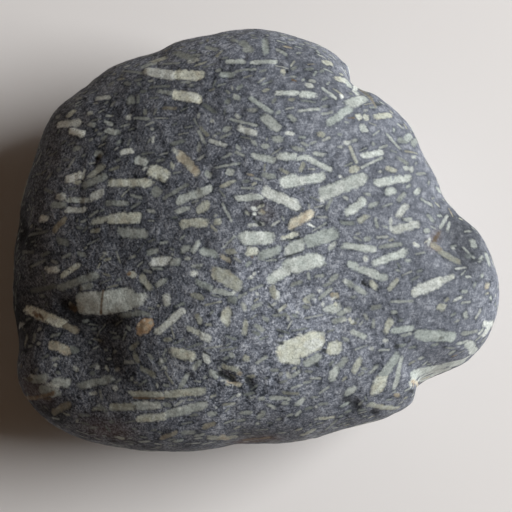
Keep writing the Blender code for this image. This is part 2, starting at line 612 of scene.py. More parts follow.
@dataclass(frozen=True)
class CrystalField:
    """All the feldspar: the laths of the seen face, and those grown at random between and behind them."""

    seen: tuple[Mark, ...] = ()
    flecks: tuple[Mark, ...] = ()  # what lies over the laths: bright grains, stains, and painted shade in holes, in cracks and under edges
    flow: float = 12.0  # degrees from +X towards +Y that most laths lie along
    flow_scatter: float = 20.0  # degrees
    flow_rise: float = 0.12  # spread of the flow's slope out of the level
    flow_share: float = 0.8  # of the random ones that follow the flow
    tone_odds: tuple[float, ...] = (0.0, 0.22, 0.42, 0.17, 0.165, 0.02, 0.005)  # one for each Tone
    slant: tuple[float, float] = (-0.5, 0.5)
    proud: tuple[float, float] = (-0.08, 0.12)
    taper: tuple[float, float] = (0.5, 0.95)
    margin: float = 0.25  # mm of groundmass that random ones keep round them
    seed: int = 5
    random_kinds: tuple[Grains, ...] = (
        Grains(900, (6.2, 0.42), (1.5, 0.3), (0.7, 1.05), True),
        Grains(1800, (2.8, 0.4), (0.85, 0.3), (0.55, 0.95), True),
        Grains(2600, (1.5, 0.4), (0.55, 0.25), (0.4, 0.75), False),
        Grains(2300, (2.0, 0.35), (0.36, 0.25), (0.4, 0.72), False),
    )

    PROUD_PIXELS, PROUD_WIDTH = 6, 1.0  # widths, in pixels and in mm, from which one stands out in full
    EDGE_ON = 0.05  # the cosine, line of sight to normal, up to which a place counts as hidden
    SPOTS = 9  # points down a crystal's length that stand for it
    ROOM = 7.0  # how far past a crystal's end the middles of others that could touch it lie
    TOUCH = 0.9  # spots touch within this part of their two half widths
    REACH = 1.6  # how far round a crystal the faces lie that it could be nearest to
    NOWHERE, NO_KIND = (-3.0, 3.0, 3.0), (0.0, 0.8, 0.5)  # gaps and kind of a face with no crystal near
    EDGE = 0.5  # depth over which a crystal's rim rises

    def placed(self, marks: tuple[Mark, ...], skin: Skin) -> list[Crystal]:
        """Crystals for seen marks, on the surface under their two ends.

        Args:
            marks: The marks.
            skin: The surface, with the camera that they are seen by.
        Returns:
            One crystal a mark.
        """
        draw = np.random.default_rng(self.seed)
        scale = skin.view.seen_width / PICTURE
        crystals = []
        for mark in marks:
            first, n_first = skin.under((mark.x0, mark.y0))
            last, n_last = skin.under((mark.x1, mark.y1))
            middle, n_middle = skin.under(((mark.x0 + mark.x1) / 2, (mark.y0 + mark.y1) / 2))
            normal = unit(n_first + n_last + 2 * n_middle)
            along = last - first
            length = np.linalg.norm(along)
            crystals.append(Crystal(
                centre=(first + last + 2 * middle) / 4, along=unit(along - normal * (along @ normal)),
                normal=normal, half_length=length / 2, half_width=mark.width * scale / 2,
                tint=mark.tone.tint, value=mark.value,
                slant=draw.uniform(*self.slant),
                proud=draw.uniform(*self.proud) * min(mark.width / self.PROUD_PIXELS, 1.0),
                taper=min(draw.uniform(*self.taper) * max(2 * mark.width * scale / length, 1.0), 1.0),
            ))
        return crystals

    def grown(
        self, points: np.ndarray, normals: np.ndarray, skin: Skin, taken: list[Crystal],
    ) -> list[Crystal]:
        """Crystals at random that keep clear of each other and of those there already.

        Args:
            points: The surface's points.
            normals: Their normals.
            skin: The surface, for the camera.
            taken: The crystals already placed.
        Returns:
            The new crystals.
        """
        draw = np.random.default_rng(self.seed + 1)
        facing = (normals * (skin.view.eye - points)).sum(axis=1) > self.EDGE_ON * skin.view.distance
        room = len(taken) + sum(kind.tries for kind in self.random_kinds)
        spots = np.zeros((room, self.SPOTS, 4))
        for place, crystal in enumerate(taken):
            spots[place] = self._spots(crystal)
        count, new = len(taken), []
        for kind in self.random_kinds:
            for at in draw.integers(0, len(points), kind.tries):
                crystal = self._draw_one(points[at], normals[at], kind, draw)
                if kind.hidden_only and facing[at]:
                    continue
                spot = self._spots(crystal)
                off = np.abs(spots[:count, self.SPOTS // 2, :3] - crystal.centre).max(axis=1)
                others = spots[:count][off < crystal.half_length + self.ROOM].reshape(-1, 4)
                apart = np.linalg.norm(spot[:, None, :3] - others[None, :, :3], axis=2)
                if (apart < self.TOUCH * (spot[:, None, 3] + others[None, :, 3]) + self.margin).any():
                    continue
                spots[count] = spot
                count += 1
                new.append(crystal)
        return new

    def _spots(self, crystal: Crystal) -> np.ndarray:
        """Points down a crystal's length.

        Args:
            crystal: The crystal.
        Returns:
            Four numbers a spot: its place, and the half width.
        """
        half = max(crystal.half_length - crystal.half_width / 2, 0.0)
        spots = crystal.centre + half * np.linspace(-1, 1, self.SPOTS)[:, None] * crystal.along
        return np.concatenate([spots, np.full((self.SPOTS, 1), crystal.half_width)], axis=1)

    def _draw_one(
        self, point: np.ndarray, normal: np.ndarray, kind: Grains, draw: np.random.Generator,
    ) -> Crystal:
        """One random crystal: mostly along the flow, and shorter where the flow leaves the surface.

        Args:
            point: Its centre.
            normal: The surface's normal there.
            kind: Its kind.
            draw: Where the random numbers come from.
        Returns:
            The crystal.
        """
        flowing = draw.random() < self.flow_share
        turn = math.radians(draw.normal(self.flow, self.flow_scatter) if flowing else draw.uniform(0, 180))
        flow = np.array((math.cos(turn), math.sin(turn), draw.normal(0.0, self.flow_rise)))
        flat = flow - normal * (flow @ normal)
        slope = np.linalg.norm(flat)
        length = draw.lognormal(math.log(kind.length[0]), kind.length[1])
        width = draw.lognormal(math.log(kind.width[0]), kind.width[1])
        tone = draw.choice(len(Tone), p=self.tone_odds)
        return Crystal(
            centre=point, along=unit(flat), normal=normal, half_length=max(length * slope, width) / 2,
            half_width=width / 2, tint=Tone(int(tone)).tint, value=draw.uniform(*kind.value),
            slant=draw.uniform(*self.slant),
            proud=draw.uniform(*self.proud) * min(width / self.PROUD_WIDTH, 1.0),
            taper=draw.uniform(*self.taper),
        )

    def mark(self, points: np.ndarray, quads: np.ndarray, crystals: list[Crystal], name: str) -> Marked:
        """What each face's corners need to know of the one crystal that the face is in or nearest to.

        Args:
            points: The surface's points.
            quads: Its faces.
            crystals: The crystals.
            name: What the attributes' names start with.
        Returns:
            Two attributes of the corners, "_gaps", as Crystal.gaps gives them, and "_kind": tint, value and
            half width. Then how far each point lifts, the mean over its faces.
        """
        corners = points[quads]
        gaps = np.tile(self.NOWHERE, (*quads.shape, 1))
        kind = np.tile(self.NO_KIND, (*quads.shape, 1))
        best, lift = np.full(len(quads), self.NOWHERE[0]), np.zeros(quads.shape)
        nearby = Nearby(corners.mean(axis=1))
        for crystal in crystals:
            near = nearby.near(crystal.centre, crystal.half_length + crystal.half_width + self.REACH)
            there = crystal.gaps(corners[near])
            depth = crystal.depth(there)
            better = depth.mean(axis=1) > best[near]
            near, depth = near[better], depth[better]
            best[near] = depth.mean(axis=1)
            gaps[near] = there[better]
            kind[near] = crystal.tint, crystal.value, crystal.half_width
            lift[near] = crystal.proud * np.clip(depth / self.EDGE + 0.5, 0, 1)
        shared = np.bincount(quads.ravel(), lift.ravel()) / np.bincount(quads.ravel())
        return {name + "_gaps": gaps, name + "_kind": kind}, shared


@dataclass(frozen=True)
class Patch:
    """A soft-edged band on the seen face, between two places, where the groundmass differs. Its rust is
    real, and its shade is mostly painted shade in hollows, under crystals and along the rims, with painted
    light in a few places, partly the groundmass's own tone.
    """

    x0: float
    y0: float
    x1: float
    y1: float
    reach: float  # mm from the line between them to where 1/e is left
    shade: float = 0.0  # part of the lightness added or taken: mostly painted shade and painted light
    grain: float = 0.0  # part of the grain's contrast and roughness added or taken; stronger contrast where light grazes is partly painted relief shade
    stain: float = 0.0  # 0 is clean, 1 is rusty


@dataclass(frozen=True)
class WeatheringAndPaintedShade:
    """Where the groundmass is rusty or rougher, and where it is darker or lighter: mostly painted shade in
    hollows, under crystals and along the rims, with painted light in a few places.
    """

    patches: tuple[Patch, ...] = ()

    def mark(self, points: np.ndarray, skin: Skin) -> np.ndarray:
        """How weathered the groundmass is, and how much painted shade and light it has: bells of the
        distance to each patch's line.

        Args:
            points: The surface's points.
            skin: The surface, with the camera that the patches are seen by.
        Returns:
            Three numbers a point: lightness factor, which is mostly painted shade and light, grain factor
                and rust.
        """
        shade, grain, stain = np.ones(len(points)), np.ones(len(points)), np.zeros(len(points))
        for patch in self.patches:
            first, _ = skin.under((patch.x0, patch.y0))
            line = skin.under((patch.x1, patch.y1))[0] - first
            part = np.clip((points - first) @ line / (line @ line), 0, 1)
            bell = np.exp(-((points - first - part[:, None] * line) ** 2).sum(axis=1) / patch.reach**2)
            shade *= 1 + patch.shade * bell
            grain *= 1 + patch.grain * bell
            stain = np.maximum(stain, patch.stain * bell)
        return np.stack([shade, grain, stain], axis=1)


class NodeTree:
    """A material's node tree, with the one method that fills it."""

    def __init__(self, name: str) -> None:
        """Makes an empty material.

        Args:
            name: What the material is called.
        """
        self.material = bpy.data.materials.new(name)
        self.material.use_nodes = True
        self.tree = self.material.node_tree
        self.tree.nodes.clear()

    def add(self, kind: str, feeds: dict[Any, Any], out: Any = 0, **settings: Any) -> bpy.types.NodeSocket:
        """Adds a node with its settings, and gives its inputs their values or links.

        Args:
            kind: The node's type, without the "ShaderNode" that every one starts with.
            feeds: A value or another node's output for each input that is set, by name or place.
            out: Which output is wanted.
            settings: The node's own settings.
        Returns:
            The wanted output, or the node itself where it has none.
        """
        node = self.tree.nodes.new("ShaderNode" + kind)
        for name, value in settings.items():
            setattr(node, name, value)
        for key, feed in feeds.items():
            if isinstance(feed, bpy.types.NodeSocket):
                self.tree.links.new(feed, node.inputs[key])
            else:
                node.inputs[key].default_value = feed
        return node.outputs[out] if node.outputs else node


@dataclass(frozen=True)
class PorphyryFinish:
    """Porphyritic basalt, tumbled dull by water: a felt of dark grains and pale needles round feldspar.

    Tumbling leaves it without gloss, so it scatters light broadly. The grain is too fine to reflect as one
    face, and shows as a soft blue-grey mottle with short light and dark strokes, while the laths are paler
    and greenish, clouded inside and ragged at their edges. The groundmass's real grains are 0.05 to 0.3 mm;
    they are drawn at 0.3 to 1.5 mm, as coarse as they have to be to show. Sizes and cells are in mm.
    """

    ground: tuple[tuple[float, str], ...] = (  # lightness, colour
        (0.05, "33373f"), (0.5, "6e717b"), (0.95, "aaacb3"),
    )
    rust: str = "6b4a38"
    grains: tuple[str, ...] = (  # one for each Tone; the first, near black, is dark augite and painted shade in holes and cracks
        "24262a", "a4aaa6", "b3b7b2", "cccec9", "bebfb2", "b2aa99", "846f5a",
    )
    grain_shadow: str = "626967"  # what the dark flecks inside a crystal show
    # The groundmass's lightness: the mottle lies round a half, and the others add or take round 0.
    mottle: tuple[float, float] = (1.3, 0.85)  # cell, weight
    mottle_level: float = 0.08
    blotch: tuple[float, float] = (4.5, 0.6)
    grain: tuple[float, float] = (0.45, 1.45)
    felt: tuple[tuple[float, float, float], ...] = (  # turn in degrees, length, share
        (68.0, 1.7, 0.5), (14.0, 1.9, 0.5), (122.0, 1.4, 0.45),
    )
    felt_lean: tuple[float, float] = (0.3, 0.2)  # turns about x and y, in radians
    felt_width: float = 0.36
    felt_weight: float = 1.1
    grain_height: float = 0.6  # in the bump, against the mottle's height
    felt_height: float = 0.3
    specks_and_glints: tuple[tuple[float, float, float], ...] = (  # cell, share of the cells with a grain, weight; the light ones are painted glints, the dark ones dark grains
        (0.7, 0.15, 0.4), (1.4, 0.25, -0.32),
    )
    speck_radius: tuple[float, float] = (0.1, 0.42)  # least and most, in cells
    speck_blur: float = 0.14
    lath_shadow: tuple[float, float, float] = (-0.6, -0.15, 0.16)  # painted shadow on the groundmass beside a lath: depths from and to, and lightness lost
    ragged: tuple[tuple[float, float], ...] = ((1.6, 1.1), (0.55, 0.6))  # cell, swing: steps, then grains
    full_swing: tuple[float, float] = (0.8, 0.5)  # half widths at which a lath and a fleck are as ragged
    least_swing: float = 0.25  # part of the raggedness that the narrowest keep
    edge_blur: tuple[float, float] = (0.13, 0.2)  # with no raggedness, and more with all of it
    cloud_cell: float = 0.9
    cloud_grain: float = 0.75  # weight of the grain in the cloud
    cloud_span: tuple[float, float] = (0.3, 0.7)  # where in the cloud's values the lightness changes
    cloud_light: tuple[float, float] = (0.82, 1.24)  # least and most lightness factor
    drift: tuple[float, float] = (1.7, 0.3)  # cell, and weight along the ramp of tones
    grain_shadow_part: tuple[float, float] = (0.5, 0.38)  # cell, and how much of the colour shows at most
    grain_shadow_span: tuple[float, float] = (0.42, 0.32)  # the noise's values where it starts and is full
    bump: tuple[float, float] = (0.15, 0.08)  # heights of the groundmass and of a lath
    roughness: tuple[float, float] = (0.7, 0.58)  # of the groundmass and of a lath
    ior: float = 1.5
    specular: float = 0.2

    def build(self) -> bpy.types.Material:
        """Makes the material: flecks over laths over groundmass.

        Returns:
            The material.
        """
        nodes = NodeTree("porphyritic_basalt_water_worn")
        metres = nodes.add("TexCoord", {}, out="Object")
        place = nodes.add("VectorMath", {0: metres, "Scale": 1 / MM}, operation="SCALE")
        lath, lath_depth = self._mask(nodes, place, "lath", self.full_swing[0])
        fleck, _ = self._mask(nodes, place, "fleck", self.full_swing[1])
        # rust, grain, and painted shade and light of the groundmass
        marks = nodes.add("Attribute", {}, out="Vector", attribute_name="weathering_and_painted_shade")
        shade, coarse, stain = nodes.add("SeparateXYZ", {0: marks}).node.outputs
        grain = {"Vector": place, "Scale": 1 / self.grain[0], "Detail": 3.0, "Roughness": 0.75}
        grain = nodes.add("Math", {0: nodes.add("TexNoise", grain), 1: 0.5}, operation="SUBTRACT")
        light, height = self._ground(nodes, place, lath_depth, grain, coarse)
        ground = self._ground_colour(nodes, light, shade, stain)
        height = nodes.add("Math", {0: grain, 1: self.grain_height, 2: height}, operation="MULTIPLY_ADD")
        cloud = {"Vector": place, "Scale": 1 / self.cloud_cell, "Detail": 3.0, "Roughness": 0.7}
        cloud = {0: grain, 1: self.cloud_grain, 2: nodes.add("TexNoise", cloud)}
        cloud = nodes.add("Math", cloud, operation="MULTIPLY_ADD")
        colour = ground
        for cover, name in ((lath, "lath"), (fleck, "fleck")):
            crystal = self._crystal(nodes, place, cloud, name)
            colour = nodes.add("Mix", {0: cover, 6: colour, 7: crystal}, out=2, data_type="RGBA")
        bump_ground, bump_lath = (most * MM for most in self.bump)
        rise = nodes.add("MapRange", {"Value": lath, "To Min": bump_ground, "To Max": bump_lath})
        rise = nodes.add("Math", {0: rise, 1: coarse}, operation="MULTIPLY")
        bump = nodes.add("Bump", {"Height": height, "Strength": 1.0, "Distance": rise})
        rough = dict(zip(("Value", "To Min", "To Max"), (lath, *self.roughness)))
        shader = nodes.add("BsdfPrincipled", {
            "Base Color": colour, "Roughness": nodes.add("MapRange", rough), "Normal": bump, "IOR": self.ior,
            "Metallic": 0.0, "Specular IOR Level": self.specular,
        })
        nodes.add("OutputMaterial", {"Surface": shader})
        return nodes.material

    def _mask(self, nodes: NodeTree, place: Any, name: str, full_swing: float) -> tuple[Any, Any]:
        """How much of each spot a crystal covers, and the depth inside its outline.

        The depth is worked out from the gaps, which run straight across a face, as Crystal.depth does it.
        Two noises make it ragged, less so for a narrow crystal.

        Args:
            nodes: The material's nodes.
            place: The spot's place.
            name: What the attributes' names start with.
            full_swing: The half width at which the raggedness is at its full.
        Returns:
            The mask and the depth.
        """
        gaps = nodes.add("Attribute", {}, out="Vector", attribute_name=name + "_gaps")
        kind = nodes.add("Attribute", {}, out="Vector", attribute_name=name + "_kind")
        end_gap, across, plane_gap = nodes.add("SeparateXYZ", {0: gaps}).node.outputs
        half_width = nodes.add("SeparateXYZ", {0: kind}, out="Z")
        off_side = nodes.add("Math", {0: across}, operation="ABSOLUTE")
        side_gap = nodes.add("Math", {0: half_width, 1: off_side}, operation="SUBTRACT")
        radius = nodes.add("Math", {0: half_width, 1: Crystal.ROUNDING}, operation="MULTIPLY")
        short_end = nodes.add("Math", {0: radius, 1: end_gap}, operation="SUBTRACT")
        short_side = nodes.add("Math", {0: radius, 1: side_gap}, operation="SUBTRACT")
        both = nodes.add("CombineXYZ", {0: short_end, 1: short_side})
        over = nodes.add("VectorMath", {0: both, 1: (0.0, 0.0, 0.0)}, operation="MAXIMUM")
        past = nodes.add("VectorMath", {0: over}, out="Value", operation="LENGTH")
        depth = nodes.add("Math", {0: radius, 1: past}, operation="SUBTRACT")
        depth = nodes.add("Math", {0: depth, 1: plane_gap}, operation="MINIMUM")
        swing_part = {"Value": half_width, "From Max": full_swing, "To Min": self.least_swing}
        swing_part = nodes.add("MapRange", swing_part)
        for cell, swing in self.ragged:
            ragged = {"Vector": place, "Scale": 1 / cell, "Detail": 2.0, "Roughness": 0.6}
            ragged = nodes.add("Math", {0: nodes.add("TexNoise", ragged), 1: 0.5}, operation="SUBTRACT")
            ragged = nodes.add("Math", {0: ragged, 1: swing_part}, operation="MULTIPLY")
            depth = nodes.add("Math", {0: ragged, 1: swing, 2: depth}, operation="MULTIPLY_ADD")
        least, more = self.edge_blur
        soft = nodes.add("Math", {0: swing_part, 1: more, 2: least}, operation="MULTIPLY_ADD")
        outer = nodes.add("Math", {0: soft, 1: -1.0}, operation="MULTIPLY")
        edge = {"Value": depth, "From Min": outer, "From Max": soft}
        return nodes.add("MapRange", edge, interpolation_type="SMOOTHSTEP"), depth

    def _felt(self, nodes: NodeTree, place: Any) -> Any:
        """Short strokes at three slants, some light and some dark: drawn-out noises, added up.

        Args:
            nodes: The material's nodes.
            place: The spot's place.
        Returns:
            The strokes as a value round 0.
        """
        total: Any = 0.0
        for turn, length, share in self.felt:
            turned = nodes.add("Mapping", {
                "Vector": place, "Rotation": (*self.felt_lean, math.radians(turn)),
                "Scale": (length, self.felt_width, self.felt_width),
            }, vector_type="TEXTURE")
            stroke = nodes.add("TexNoise", {"Vector": turned, "Scale": 1.0, "Detail": 1.0, "Roughness": 0.5})
            stroke = nodes.add("Math", {0: stroke, 1: 0.5}, operation="SUBTRACT")
            total = nodes.add("Math", {0: stroke, 1: share, 2: total}, operation="MULTIPLY_ADD")
        return total

    def _specks(self, nodes: NodeTree, place: Any, cell: float, share: float) -> Any:
        """Small round spots, one in the middle of some of the cells of a Voronoi pattern: dark grains, and
        light ones that are painted glints.

        Args:
            nodes: The material's nodes.
            place: The spot's place.
            cell: The cells' size.
            share: How many cells have a grain, from 0 to 1.
        Returns:
            The mask.
        """
        spot = nodes.add("TexVoronoi", {"Vector": place, "Scale": 1 / cell}, out="Distance")
        chance = nodes.add("SeparateXYZ", {0: spot.node.outputs["Color"]}, out="X")
        least, most = self.speck_radius
        size = {"Value": chance, "From Min": 1 - share, "To Min": least, "To Max": most}
        within = nodes.add("Math", {0: nodes.add("MapRange", size), 1: spot}, operation="SUBTRACT")
        there = nodes.add("Math", {0: chance, 1: 1 - share}, operation="GREATER_THAN")
        soft = {"Value": within, "From Max": self.speck_blur}
        soft = nodes.add("MapRange", soft, interpolation_type="SMOOTHSTEP")
        return nodes.add("Math", {0: soft, 1: there}, operation="MULTIPLY")

    def _ground(
        self, nodes: NodeTree, place: Any, lath_depth: Any, grain: Any, coarse: Any,
    ) -> tuple[Any, Any]:
        """The groundmass: mottle, blotches, felt, grain, dark specks and painted glints, and painted shadow
        beside a lath.

        Args:
            nodes: The material's nodes.
            place: The spot's place.
            lath_depth: The depth inside a lath, below 0 outside.
            grain: The finest noise, round 0.
            coarse: How strongly all but the mottle shows.
        Returns:
            The lightness from 0 to 1, and the height for the bump.
        """
        felt = self._felt(nodes, place)
        cell, weight = self.blotch
        blotch = nodes.add("TexNoise", {"Vector": place, "Scale": 1 / cell, "Detail": 2.0, "Roughness": 0.5})
        fine = nodes.add("Math", {0: blotch, 1: weight, 2: -weight / 2}, operation="MULTIPLY_ADD")
        for part, weight in ((felt, self.felt_weight), (grain, self.grain[1])):
            fine = nodes.add("Math", {0: part, 1: weight, 2: fine}, operation="MULTIPLY_ADD")
        # light spots are painted glints, dark ones are dark grains
        for cell, share, weight in self.specks_and_glints:
            specks_and_glints = self._specks(nodes, place, cell, share)
            fine = nodes.add("Math", {0: specks_and_glints, 1: weight, 2: fine}, operation="MULTIPLY_ADD")
        cell, weight = self.mottle
        mottle = nodes.add("TexNoise", {"Vector": place, "Scale": 1 / cell, "Detail": 2.0, "Roughness": 0.5})
        light = nodes.add("Math", {0: mottle, 1: weight, 2: self.mottle_level}, operation="MULTIPLY_ADD")
        light = nodes.add("Math", {0: fine, 1: coarse, 2: light}, operation="MULTIPLY_ADD")
        # painted shadow on the groundmass round each lath
        shadow = dict(zip(("From Min", "From Max", "To Max"), self.lath_shadow))
        shadow = nodes.add("MapRange", {"Value": lath_depth} | shadow)
        light = nodes.add("Math", {0: light, 1: shadow}, operation="SUBTRACT")
        height = nodes.add("Math", {0: felt, 1: self.felt_height, 2: mottle}, operation="MULTIPLY_ADD")
        return light, height

    def _ground_colour(self, nodes: NodeTree, light: Any, shade: Any, stain: Any) -> Any:
        """The groundmass's colour: a ramp of its lightness, then rust over it, then the patches' shade,
        which is mostly painted shade and light.

        Args:
            nodes: The material's nodes.
            light: The lightness from 0 to 1.
            shade: The patches' factor for the lightness: mostly painted shade and light.
            stain: The weathering's rust.
        Returns:
            The colour.
        """
        ramp = nodes.add("ValToRGB", {"Fac": light}, out="Color")
        stops = ramp.node.color_ramp.elements
        stops.new(0.5)
        for stop, (position, code) in zip(stops, self.ground):
            stop.position, stop.color = position, linear_colour(code)
        rusty = nodes.add("Mix", {0: stain, 6: ramp, 7: linear_colour(self.rust)}, out=2, data_type="RGBA")
        return nodes.add("VectorMath", {0: rusty, "Scale": shade}, operation="SCALE")

    def _crystal(self, nodes: NodeTree, place: Any, cloud: Any, name: str) -> Any:
        """A crystal's colour, clouded and flecked with groundmass.

        Args:
            nodes: The material's nodes.
            place: The spot's place.
            cloud: The noise that clouds it.
            name: What the attributes' names start with.
        Returns:
            The colour.
        """
        kind = nodes.add("Attribute", {}, out="Vector", attribute_name=name + "_kind")
        tint, value, _ = nodes.add("SeparateXYZ", {0: kind}).node.outputs
        cell, weight = self.drift
        drift = nodes.add("TexNoise", {"Vector": place, "Scale": 1 / cell, "Detail": 1.0})
        drift = nodes.add("Math", {0: drift, 1: 0.5}, operation="SUBTRACT")
        tint = nodes.add("Math", {0: drift, 1: weight, 2: tint}, operation="MULTIPLY_ADD")
        ramp = nodes.add("ValToRGB", {"Fac": tint}, out="Color")
        stops = ramp.node.color_ramp.elements
        while len(stops) < len(Tone):
            stops.new(0.5)
        for stop, tone, code in zip(stops, Tone, self.grains):
            stop.position, stop.color = tone.tint, linear_colour(code)
        low, high = self.cloud_span
        least, most = self.cloud_light
        cloudy = {"Value": cloud, "From Min": low, "From Max": high, "To Min": least, "To Max": most}
        cloudy = nodes.add("Math", {0: nodes.add("MapRange", cloudy), 1: value}, operation="MULTIPLY")
        lit = nodes.add("VectorMath", {0: ramp, "Scale": cloudy}, operation="SCALE")
        cell, most = self.grain_shadow_part
        start, full = self.grain_shadow_span
        shadow = nodes.add("TexNoise", {"Vector": place, "Scale": 1 / cell, "Detail": 2.0, "Roughness": 0.5})
        shadow = {"Value": shadow, "From Min": start, "From Max": full, "To Max": most}
        shadow = nodes.add("MapRange", shadow)
        dark = linear_colour(self.grain_shadow)
        return nodes.add("Mix", {0: shadow, 6: lit, 7: dark}, out=2, data_type="RGBA")


@dataclass
class Pebble:
    """The stone: one closed mesh in the porphyry finish, which stands for the CAD solid."""

    form: PebbleForm = field(default_factory=PebbleForm)
    relief: Relief = field(default_factory=Relief)
    crystals: CrystalField = field(default_factory=CrystalField)
    weathering_and_painted_shade: WeatheringAndPaintedShade = field(default_factory=WeatheringAndPaintedShade)
    finish: PorphyryFinish = field(default_factory=PorphyryFinish)
    cells: tuple[int, int, int] = (165, 148, 76)

    def build(self, view: View) -> bpy.types.Object:
        """Wears the form, places the crystals in it and lifts their surface, and makes the mesh.

        Args:
            view: The camera that picture positions belong to.
        Returns:
            The stone's object.
        """
        shell = Shell(self.cells)
        points = above_ground(self.relief.worn(self.form.surface(shell.cube), shell, view))
        skin = Skin(points, shell.quads, view)
        normals = shell.normals(points)
        laths = self.crystals.placed(self.crystals.seen, skin)
        laths += self.crystals.grown(points, normals, skin, laths)
        marks, proud = self.crystals.mark(points, shell.quads, laths, "lath")
        flecks = self.crystals.placed(self.crystals.flecks, skin)
        marks |= self.crystals.mark(points, shell.quads, flecks, "fleck")[0]
        # rust, grain, and painted shade and light on the groundmass
        marks["weathering_and_painted_shade"] = self.weathering_and_painted_shade.mark(points, skin)
        return self._mesh(above_ground(points + normals * proud[:, None]), shell, marks)

    def _mesh(self, points: np.ndarray, shell: Shell, marks: dict[str, np.ndarray]) -> bpy.types.Object:
        """The mesh, with its charts as the UV map and its marks as attributes.

        Args:
            points: The surface's points.
            shell: The skin that they belong to.
            marks: Attributes by name: three numbers a point, or a corner.
        Returns:
            The stone's object.
        """
        mesh = bpy.data.meshes.new("pebble_skin")
        mesh.from_pydata((points * MM).tolist(), [], shell.quads.tolist())
        mesh.shade_smooth()
        mesh.uv_layers.new(name="charts").data.foreach_set("uv", shell.charts.ravel())
        for name, values in marks.items():
            domain = "POINT" if values.ndim == 2 else "CORNER"
            mesh.attributes.new(name, "FLOAT_VECTOR", domain).data.foreach_set("vector", values.ravel())
        mesh.materials.append(self.finish.build())
        stone = bpy.data.objects.new("pebble_skin", mesh)
        bpy.context.scene.collection.objects.link(stone)
        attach(stone, "root")
        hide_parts("pebble")
        return stone


@dataclass(frozen=True)
class Studio:
    """The plain surroundings: a pale floor, one broad soft lamp low on the right, and a dim warm room."""

    floor_size: float = 3000.0
    floor_colour: str = "e5dfdd"
    floor_roughness: float = 0.7
    lamp_bearing: float = 8.0  # degrees from +X towards +Y
    lamp_height: float = 27.5  # degrees above the floor
    lamp_distance: float = 1100.0
    lamp_side: float = 710.0
    lamp_watts: float = 23.6
    lamp_colour: tuple[float, float, float] = (0.96, 0.995, 1.0)
    room_colour: tuple[float, float, float, float] = (1.0, 0.71, 0.48, 1.0)
    room_strength: float = 0.062

    def build(self) -> None:
        """Makes the floor, the lamp and the room's light."""
        self._floor()
        bearing, height = math.radians(self.lamp_bearing), math.radians(self.lamp_height)
        level = math.cos(height)
        towards = Vector((level * math.cos(bearing), level * math.sin(bearing), math.sin(height)))
        lamp = bpy.data.lights.new("window", "AREA")
        lamp.size = self.lamp_side * MM
        lamp.energy = self.lamp_watts
        lamp.color = self.lamp_colour
        window = bpy.data.objects.new("window", lamp)
        window.location = towards * self.lamp_distance * MM
        window.rotation_euler = (-towards).to_track_quat("-Z", "Y").to_euler()
        bpy.context.scene.collection.objects.link(window)
        world = bpy.data.worlds.new("room")
        world.use_nodes = True
        background = world.node_tree.nodes["Background"]
        background.inputs["Color"].default_value = self.room_colour
        background.inputs["Strength"].default_value = self.room_strength
        bpy.context.scene.world = world
        bpy.context.scene.view_settings.view_transform = "Standard"

    def _floor(self) -> None:
        """A square of board just under the stone. Its matt paint spreads light evenly, with no gloss."""
        half = self.floor_size * MM / 2
        corners = [(x * half, y * half, 0) for x, y in ((-1, -1), (1, -1), (1, 1), (-1, 1))]
        mesh = bpy.data.meshes.new("floor")
        mesh.from_pydata(corners, [], [(0, 1, 2, 3)])
        nodes = NodeTree("painted_board_matt")
        paint = {"Base Color": linear_colour(self.floor_colour), "Roughness": self.floor_roughness}
        nodes.add("OutputMaterial", {"Surface": nodes.add("BsdfPrincipled", paint)})
        mesh.materials.append(nodes.material)
        floor = bpy.data.objects.new("floor", mesh)
        bpy.context.scene.collection.objects.link(floor)


D, G, P, W, C, T, B = Tone  # the tones in order, for the lists below

